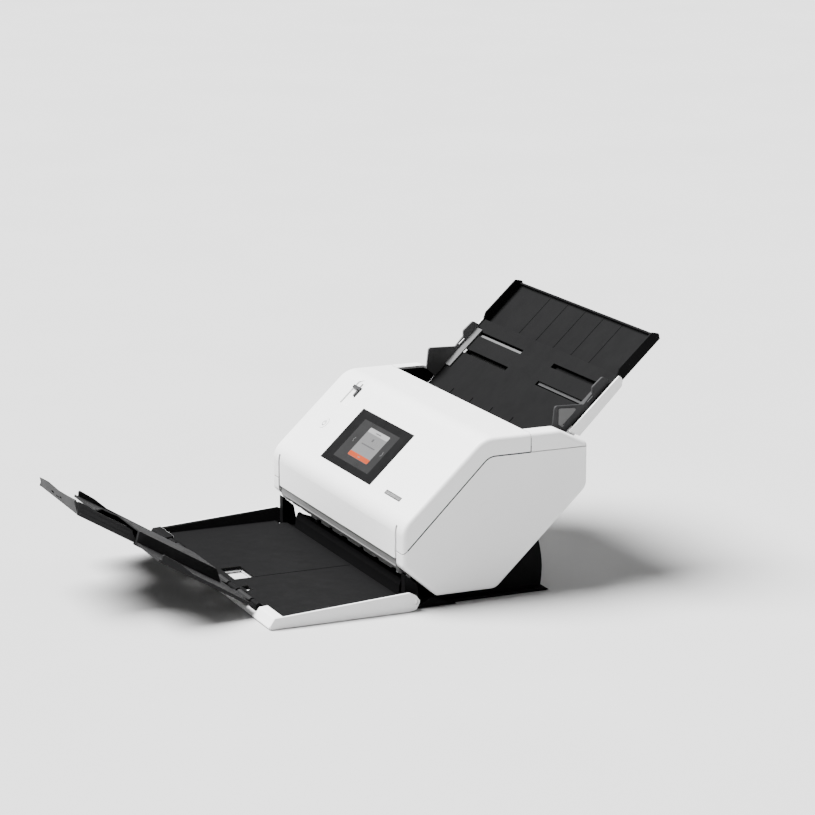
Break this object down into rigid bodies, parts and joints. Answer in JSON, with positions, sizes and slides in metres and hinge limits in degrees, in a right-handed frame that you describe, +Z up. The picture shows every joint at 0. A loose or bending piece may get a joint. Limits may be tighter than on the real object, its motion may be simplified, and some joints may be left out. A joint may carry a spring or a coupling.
{
  "type": "sheet fed document scanner",
  "caption": "Desktop sheet fed document scanner with a tilting body, hinged front cover, slanted input tray with edge guides, and a folding output tray with extensions and a stopper.",
  "frame": {"origin": "on the table, at the middle of the pad under the scanner body", "axes": "+X is the viewer's right, -Y is the front with the output tray, +Z is up"},
  "size_m": [0.44, 0.7269, 0.312],
  "materials": {
    "white_shell": "satin moulded plastic",
    "black_plastic": "fine grained moulded plastic",
    "dark_grey_plastic": "fine grained moulded plastic",
    "mid_grey_plastic": "fine grained moulded plastic",
    "light_grey_plastic": "satin moulded plastic",
    "frame_grey": "plain moulded plastic",
    "screen_black": "gloss",
    "screen_glass": "clear cover glass over a dark panel",
    "steel": "ground",
    "zinc_plate": "zinc plated sheet",
    "roller_rubber": "matte",
    "foot_rubber": "matte",
    "gear_plastic": "natural acetal",
    "bush_plastic": "plain",
    "circuit_board": "solder mask",
    "scan_glass": "clear",
    "motor_steel": "satin",
    "belt_rubber": "matte"
  },
  "bodies": {
    "base": {"base_frame": "black_plastic", "exit_ramp": "black_plastic", "rubber_feet": "foot_rubber", "base_pins": "steel"},
    "scanner_body": {"chassis_plates": "zinc_plate", "chassis_bars": "steel", "roller_bushes": "bush_plastic", "lower_paper_guide": "dark_grey_plastic", "lower_sensor_housing": "black_plastic", "lower_sensor_glass": "scan_glass", "exit_guide": "light_grey_plastic", "side_cover_right": "white_shell", "side_cover_left": "white_shell", "rear_cover": "white_shell", "bottom_cover": "light_grey_plastic", "main_board": "circuit_board", "rear_sockets": "black_plastic", "feed_motor": "motor_steel", "exit_drive_belt": "belt_rubber", "input_tray_shell": "white_shell", "input_tray_plate": "black_plastic", "case_screws": "steel"},
    "conveyor_roller": {"conveyor_roller_shaft": "steel", "conveyor_roller_tyres": "roller_rubber", "conveyor_gear": "gear_plastic"},
    "feed_roller": {"feed_roller_shaft": "steel", "feed_roller_tyres": "roller_rubber", "feed_gear": "gear_plastic"},
    "pickup_roller": {"pickup_roller_shaft": "steel", "pickup_roller_tyres": "roller_rubber", "pickup_gear": "gear_plastic"},
    "eject_roller": {"eject_roller_shaft": "steel", "eject_roller_tyres": "roller_rubber"},
    "lower_idler": {"lower_idler_gear": "gear_plastic"},
    "upper_idler": {"upper_idler_gear": "gear_plastic"},
    "motor_rotor": {"motor_pinion": "steel"},
    "eject_pinch": {"eject_pinch_rollers": "roller_rubber"},
    "front_cover": {"cover_shell": "white_shell", "cover_frame": "frame_grey", "upper_sensor_housing": "black_plastic", "upper_sensor_glass": "scan_glass", "screen_bezel": "screen_black", "screen_glass": "screen_glass", "screen_panel": "black_plastic", "control_board": "circuit_board"},
    "conveyor_pinch": {"conveyor_pinch_rollers": "roller_rubber"},
    "retard_roller": {"retard_rollers": "roller_rubber"},
    "power_button": {"power_button": "white_shell"},
    "feed_lever": {"feed_lever": "dark_grey_plastic"},
    "output_tray": {"tray_shell": "white_shell", "tray_plate": "black_plastic"},
    "output_extension": {"output_extension": "black_plastic"},
    "output_extension_end": {"output_extension_end": "dark_grey_plastic"},
    "output_stopper": {"output_stopper": "mid_grey_plastic"},
    "right_guide": {"edge_guide_right": "dark_grey_plastic", "guide_insert_right": "light_grey_plastic"},
    "left_guide": {"edge_guide_left": "dark_grey_plastic", "guide_insert_left": "light_grey_plastic"},
    "guide_pinion": {"guide_pinion": "gear_plastic"},
    "input_extension": {"input_extension": "black_plastic"}
  },
  "joints": [
    {"name": "body_tilt", "type": "hinge", "parent": "base", "child": "scanner_body", "pos_m": [0, -0.066, 0.027], "axis": [-1, 0, 0], "range_deg": [0, 10]},
    {"name": "cover_hinge", "type": "hinge", "parent": "scanner_body", "child": "front_cover", "pos_m": [0, -0.117, 0.054], "axis": [1, 0, 0], "range_deg": [0, 45]},
    {"name": "tray_fold", "type": "hinge", "parent": "base", "child": "output_tray", "pos_m": [0, -0.119, 0.012], "axis": [1, 0, 0], "range_deg": [-50, 0]},
    {"name": "extension_fold", "type": "hinge", "parent": "output_tray", "child": "output_extension", "pos_m": [0, -0.2995, 0.012], "axis": [1, 0, 0], "range_deg": [-80, 0]},
    {"name": "second_extension_slide", "type": "slide", "parent": "output_extension", "child": "output_extension_end", "axis": [0, 0.8572, -0.515], "range_m": [0, 0.06]},
    {"name": "stopper_fold", "type": "hinge", "parent": "output_extension_end", "child": "output_stopper", "pos_m": [0, -0.49524, 0.12883], "axis": [1, 0, 0], "range_deg": [-40, 50]},
    {"name": "right_guide_slide", "type": "slide", "parent": "scanner_body", "child": "right_guide", "axis": [-1, 0, 0], "range_m": [0, 0.12]},
    {"name": "left_guide_slide", "type": "slide", "parent": "scanner_body", "child": "left_guide", "axis": [1, 0, 0], "range_m": [0, 0.12]},
    {"name": "guide_pinion_spin", "type": "hinge", "parent": "scanner_body", "child": "guide_pinion", "pos_m": [0, 0.13993, 0.23581], "axis": [0, -0.682, 0.7314], "range_deg": [-670, 5]},
    {"name": "input_extension_slide", "type": "slide", "parent": "scanner_body", "child": "input_extension", "axis": [0, 0.7314, 0.682], "range_m": [-0.048, 0.02]},
    {"name": "power_button_press", "type": "slide", "parent": "front_cover", "child": "power_button", "axis": [0, 0.6833, -0.7302], "range_m": [0, 0.0015], "stiffness_N_per_m": 300},
    {"name": "feed_lever_slide", "type": "slide", "parent": "front_cover", "child": "feed_lever", "axis": [0, 0.7302, 0.6833], "range_m": [-0.006, 0.006]},
    {"name": "conveyor_spin", "type": "hinge", "parent": "scanner_body", "child": "conveyor_roller", "pos_m": [0, -0.01876, 0.07607], "axis": [1, 0, 0], "continuous": true},
    {"name": "feed_spin", "type": "hinge", "parent": "scanner_body", "child": "feed_roller", "pos_m": [0, 0.00225, 0.09019], "axis": [1, 0, 0], "continuous": true},
    {"name": "pickup_spin", "type": "hinge", "parent": "scanner_body", "child": "pickup_roller", "pos_m": [0, 0.03067, 0.11397], "axis": [1, 0, 0], "continuous": true},
    {"name": "eject_spin", "type": "hinge", "parent": "scanner_body", "child": "eject_roller", "pos_m": [0, -0.0864, 0.03022], "axis": [1, 0, 0], "continuous": true},
    {"name": "lower_idler_spin", "type": "hinge", "parent": "scanner_body", "child": "lower_idler", "pos_m": [-0.203, -0.00024, 0.07121], "axis": [1, 0, 0], "continuous": true},
    {"name": "upper_idler_spin", "type": "hinge", "parent": "scanner_body", "child": "upper_idler", "pos_m": [-0.203, 0.01957, 0.09836], "axis": [1, 0, 0], "continuous": true},
    {"name": "motor_spin", "type": "hinge", "parent": "scanner_body", "child": "motor_rotor", "pos_m": [-0.203, 0.0027, 0.05737], "axis": [1, 0, 0], "continuous": true},
    {"name": "conveyor_pinch_spin", "type": "hinge", "parent": "front_cover", "child": "conveyor_pinch", "pos_m": [0, -0.02988, 0.08799], "axis": [1, 0, 0], "continuous": true},
    {"name": "retard_spin", "type": "hinge", "parent": "front_cover", "child": "retard_roller", "pos_m": [0, -0.015, 0.1087], "axis": [1, 0, 0], "continuous": true},
    {"name": "eject_pinch_spin", "type": "hinge", "parent": "scanner_body", "child": "eject_pinch", "pos_m": [0, -0.09191, 0.04385], "axis": [1, 0, 0], "continuous": true}
  ],
  "couplings": [
    {"joint": "left_guide_slide", "follows": "right_guide_slide", "ratio": 1},
    {"joint": "guide_pinion_spin", "follows": "right_guide_slide", "rad_per_m": -95.238},
    {"joint": "feed_spin", "follows": "conveyor_spin", "ratio": 1},
    {"joint": "pickup_spin", "follows": "conveyor_spin", "ratio": 1},
    {"joint": "eject_spin", "follows": "conveyor_spin", "ratio": 1},
    {"joint": "lower_idler_spin", "follows": "conveyor_spin", "ratio": -1.375},
    {"joint": "upper_idler_spin", "follows": "conveyor_spin", "ratio": -1.375},
    {"joint": "motor_spin", "follows": "conveyor_spin", "ratio": 1.8333},
    {"joint": "conveyor_pinch_spin", "follows": "conveyor_spin", "ratio": -1.2857},
    {"joint": "retard_spin", "follows": "conveyor_spin", "ratio": -1.0833},
    {"joint": "eject_pinch_spin", "follows": "conveyor_spin", "ratio": -1.4}
  ]
}
